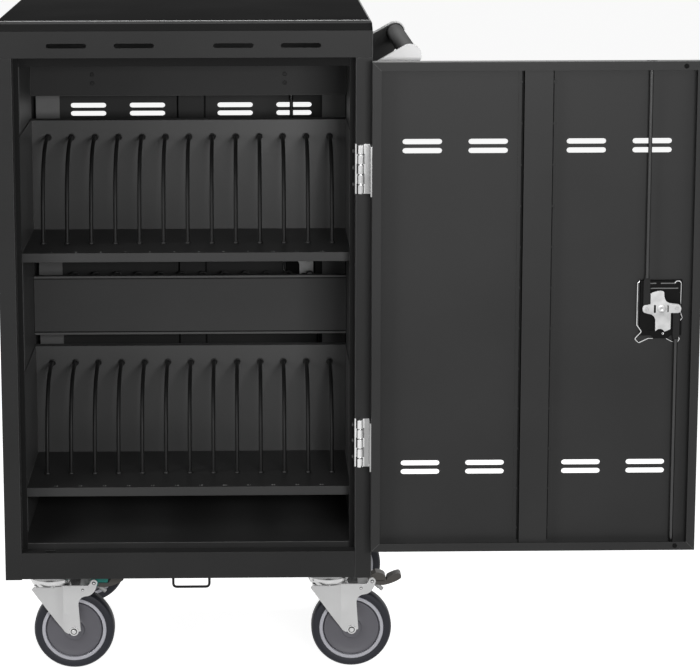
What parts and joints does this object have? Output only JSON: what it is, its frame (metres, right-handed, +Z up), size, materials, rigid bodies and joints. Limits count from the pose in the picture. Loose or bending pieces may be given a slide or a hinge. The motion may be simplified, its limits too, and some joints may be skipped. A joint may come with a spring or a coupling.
{
  "type": "laptop charging cart",
  "caption": "Steel laptop charging cart with divider racks, hinged vented front and rear doors with rod locks, a push handle and swivel casters.",
  "frame": {"origin": "middle of the cart's box on the floor, with the front door swung fully open", "axes": "+X across the cart towards the open door and the handle, +Y from the front to the back, +Z up"},
  "size_m": [1.0528, 0.5098, 1.015],
  "materials": {
    "black_paint": "satin powder coat",
    "divider_paint": "semi-gloss powder coat",
    "black_plastic": "satin moulded plastic",
    "hinge_chrome": "bright plated steel",
    "lock_zinc": "plated zinc casting",
    "caster_zinc": "bright zinc plate",
    "bracket_silver": "light silver, with a dark inner half",
    "wheel_grey": "grey tread on a light rim and a mid-grey hub",
    "pedal_grey": "satin moulded plastic"
  },
  "bodies": {
    "cabinet": {"base_plate": "black_paint", "bottom_tray": "black_paint", "cable_comb": "black_plastic", "front_apron": "black_paint", "front_frame_leaf_lower": "hinge_chrome", "front_frame_leaf_upper": "hinge_chrome", "front_header": "black_paint", "front_left_caster_plate": "caster_zinc", "front_right_caster_plate": "caster_zinc", "handle_bracket_front": "bracket_silver", "handle_bracket_rear": "bracket_silver", "handle_tube": "black_plastic", "left_side_panel": "black_paint", "left_upright": "black_paint", "lower_power_strip": "black_plastic", "lower_rack_back": "divider_paint", "lower_rack_tray": "black_paint", "partition_middle_panel": "black_paint", "partition_top_rail": "black_paint", "power_inlet": "black_plastic", "pull_loop": "black_paint", "rear_apron": "black_paint", "rear_frame_leaf_lower": "hinge_chrome", "rear_frame_leaf_upper": "hinge_chrome", "rear_header": "black_paint", "rear_left_caster_plate": "caster_zinc", "rear_right_caster_plate": "caster_zinc", "right_side_panel": "black_paint", "right_upright": "black_paint", "top_cover": "black_paint", "upper_power_strip": "black_plastic", "upper_rack_back": "divider_paint", "upper_rack_tray": "black_paint"},
    "front_door": {"front_door_panel": "black_paint", "front_lock_body": "black_plastic", "front_door_leaf_upper": "hinge_chrome", "front_door_leaf_lower": "hinge_chrome"},
    "front_lock": {"front_lock_handle": "black_plastic", "front_lock_cam": "lock_zinc"},
    "front_upper_rod": {"front_lock_rod_upper": "black_paint"},
    "front_lower_rod": {"front_lock_rod_lower": "black_paint"},
    "rear_door": {"rear_door_panel": "black_paint", "rear_lock_body": "black_plastic", "rear_door_leaf_upper": "hinge_chrome", "rear_door_leaf_lower": "hinge_chrome"},
    "rear_lock": {"rear_lock_handle": "black_plastic", "rear_lock_cam": "lock_zinc"},
    "rear_upper_rod": {"rear_lock_rod_upper": "black_paint"},
    "rear_lower_rod": {"rear_lock_rod_lower": "black_paint"},
    "front_left_fork": {"front_left_caster_fork": "caster_zinc"},
    "front_left_wheel": {"front_left_caster_wheel": "wheel_grey"},
    "front_left_pedal": {"front_left_brake_pedal": "pedal_grey"},
    "front_right_fork": {"front_right_caster_fork": "caster_zinc"},
    "front_right_wheel": {"front_right_caster_wheel": "wheel_grey"},
    "front_right_pedal": {"front_right_brake_pedal": "pedal_grey"},
    "rear_left_fork": {"rear_left_caster_fork": "caster_zinc"},
    "rear_left_wheel": {"rear_left_caster_wheel": "wheel_grey"},
    "rear_right_fork": {"rear_right_caster_fork": "caster_zinc"},
    "rear_right_wheel": {"rear_right_caster_wheel": "wheel_grey"}
  },
  "joints": [
    {"name": "front_door_swing", "type": "hinge", "parent": "cabinet", "child": "front_door", "pos_m": [0.0184, -0.22585, 0.5835], "axis": [0, 0, 1], "range_deg": [-180, 0]},
    {"name": "front_lock_turn", "type": "hinge", "parent": "front_door", "child": "front_lock", "pos_m": [0.4694, -0.24385, 0.5835], "axis": [0, 1, 0], "range_deg": [0, 90]},
    {"name": "front_upper_rod_pivot", "type": "hinge", "parent": "front_lock", "child": "front_upper_rod", "pos_m": [0.4469, -0.24385, 0.5835], "axis": [0, 1, 0], "range_deg": [-95, 0]},
    {"name": "front_lower_rod_pivot", "type": "hinge", "parent": "front_lock", "child": "front_lower_rod", "pos_m": [0.4919, -0.24385, 0.5835], "axis": [0, 1, 0], "range_deg": [-95, 0]},
    {"name": "rear_door_swing", "type": "hinge", "parent": "cabinet", "child": "rear_door", "pos_m": [-0.5056, 0.24815, 0.5835], "axis": [0, 0, 1], "range_deg": [0, 180]},
    {"name": "rear_lock_turn", "type": "hinge", "parent": "rear_door", "child": "rear_lock", "pos_m": [-0.0546, 0.23015, 0.5835], "axis": [0, 1, 0], "range_deg": [0, 90]},
    {"name": "rear_upper_rod_pivot", "type": "hinge", "parent": "rear_lock", "child": "rear_upper_rod", "pos_m": [-0.0771, 0.23015, 0.5835], "axis": [0, 1, 0], "range_deg": [-95, 0]},
    {"name": "rear_lower_rod_pivot", "type": "hinge", "parent": "rear_lock", "child": "rear_lower_rod", "pos_m": [-0.0321, 0.23015, 0.5835], "axis": [0, 1, 0], "range_deg": [-95, 0]},
    {"name": "front_left_swivel", "type": "hinge", "parent": "cabinet", "child": "front_left_fork", "pos_m": [-0.4596, -0.15385, 0.151], "axis": [0, 0, 1], "continuous": true},
    {"name": "front_left_roll", "type": "hinge", "parent": "front_left_fork", "child": "front_left_wheel", "pos_m": [-0.4236, -0.15385, 0.0625], "axis": [0, 1, 0], "continuous": true},
    {"name": "front_left_brake", "type": "hinge", "parent": "front_left_fork", "child": "front_left_pedal", "pos_m": [-0.3916, -0.15385, 0.14], "axis": [0, 1, 0], "range_deg": [0, 15]},
    {"name": "front_right_swivel", "type": "hinge", "parent": "cabinet", "child": "front_right_fork", "pos_m": [-0.0276, -0.15385, 0.151], "axis": [0, 0, 1], "continuous": true},
    {"name": "front_right_roll", "type": "hinge", "parent": "front_right_fork", "child": "front_right_wheel", "pos_m": [0.0084, -0.15385, 0.0625], "axis": [0, 1, 0], "continuous": true},
    {"name": "front_right_brake", "type": "hinge", "parent": "front_right_fork", "child": "front_right_pedal", "pos_m": [0.0404, -0.15385, 0.14], "axis": [0, 1, 0], "range_deg": [0, 15]},
    {"name": "rear_left_swivel", "type": "hinge", "parent": "cabinet", "child": "rear_left_fork", "pos_m": [-0.4596, 0.17615, 0.151], "axis": [0, 0, 1], "continuous": true},
    {"name": "rear_left_roll", "type": "hinge", "parent": "rear_left_fork", "child": "rear_left_wheel", "pos_m": [-0.4236, 0.17615, 0.0625], "axis": [0, 1, 0], "continuous": true},
    {"name": "rear_right_swivel", "type": "hinge", "parent": "cabinet", "child": "rear_right_fork", "pos_m": [-0.0276, 0.17615, 0.151], "axis": [0, 0, 1], "continuous": true},
    {"name": "rear_right_roll", "type": "hinge", "parent": "rear_right_fork", "child": "rear_right_wheel", "pos_m": [0.0084, 0.17615, 0.0625], "axis": [0, 1, 0], "continuous": true}
  ],
  "couplings": [
    {"joint": "front_upper_rod_pivot", "follows": "front_lock_turn", "ratio": -1.0385},
    {"joint": "front_lower_rod_pivot", "follows": "front_lock_turn", "ratio": -1.0385},
    {"joint": "rear_upper_rod_pivot", "follows": "rear_lock_turn", "ratio": -1.0385},
    {"joint": "rear_lower_rod_pivot", "follows": "rear_lock_turn", "ratio": -1.0385}
  ]
}
